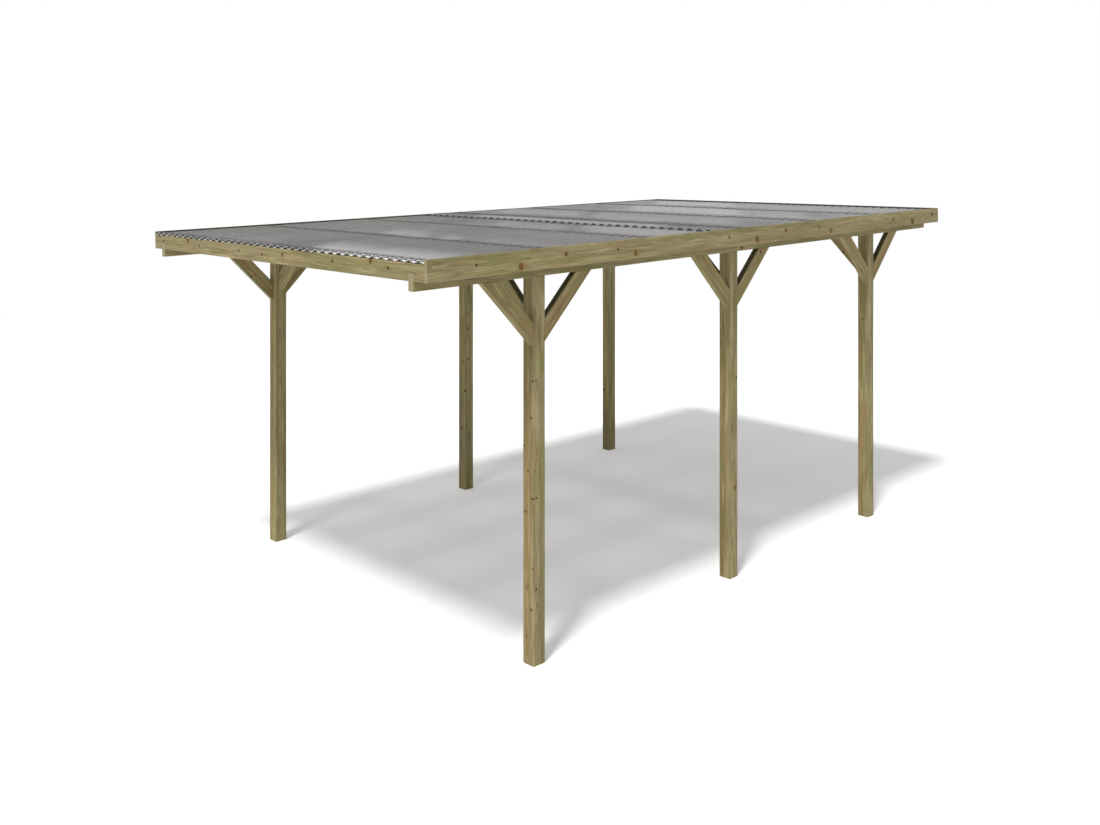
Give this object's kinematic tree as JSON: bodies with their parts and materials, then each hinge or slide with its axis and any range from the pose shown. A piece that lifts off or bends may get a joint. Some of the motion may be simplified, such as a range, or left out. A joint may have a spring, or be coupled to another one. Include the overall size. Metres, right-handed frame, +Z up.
{
  "type": "carport",
  "caption": "Open timber carport: square posts with mitred head braces carry side beams and notched rafters under a flat roof of clear corrugated sheets.",
  "frame": {"origin": "on the ground under the middle of the roof", "axes": "+Z up, +Y along the roof towards the rear, +X to the right as seen from the front"},
  "size_m": [3.14, 5.5512, 2.4704],
  "materials": {
    "treated_pine": "planed, pressure treated, matt",
    "clear_sheet": "smoky clear, glossy"
  },
  "bodies": {
    "root": {"front_left_post": "treated_pine", "front_right_post": "treated_pine", "middle_left_post": "treated_pine", "middle_right_post": "treated_pine", "rear_left_post": "treated_pine", "rear_right_post": "treated_pine", "left_beam": "treated_pine", "right_beam": "treated_pine", "front_rafter": "treated_pine", "front_post_rafter": "treated_pine", "front_bay_rafter": "treated_pine", "middle_post_rafter": "treated_pine", "rear_bay_rafter": "treated_pine", "rear_post_rafter": "treated_pine", "rear_rafter": "treated_pine", "left_fascia": "treated_pine", "right_fascia": "treated_pine", "rear_fascia": "treated_pine", "front_left_fore_brace": "treated_pine", "front_left_aft_brace": "treated_pine", "front_right_fore_brace": "treated_pine", "front_right_aft_brace": "treated_pine", "middle_left_fore_brace": "treated_pine", "middle_left_aft_brace": "treated_pine", "middle_right_fore_brace": "treated_pine", "middle_right_aft_brace": "treated_pine", "rear_left_fore_brace": "treated_pine", "rear_left_aft_brace": "treated_pine", "rear_right_fore_brace": "treated_pine", "rear_right_aft_brace": "treated_pine", "front_left_cross_brace": "treated_pine", "front_right_cross_brace": "treated_pine", "middle_left_cross_brace": "treated_pine", "middle_right_cross_brace": "treated_pine", "rear_left_cross_brace": "treated_pine", "rear_right_cross_brace": "treated_pine", "front_sheet_1": "clear_sheet", "front_sheet_2": "clear_sheet", "front_sheet_3": "clear_sheet", "front_sheet_4": "clear_sheet", "rear_sheet_1": "clear_sheet", "rear_sheet_2": "clear_sheet", "rear_sheet_3": "clear_sheet", "rear_sheet_4": "clear_sheet"}
  },
  "joints": []
}
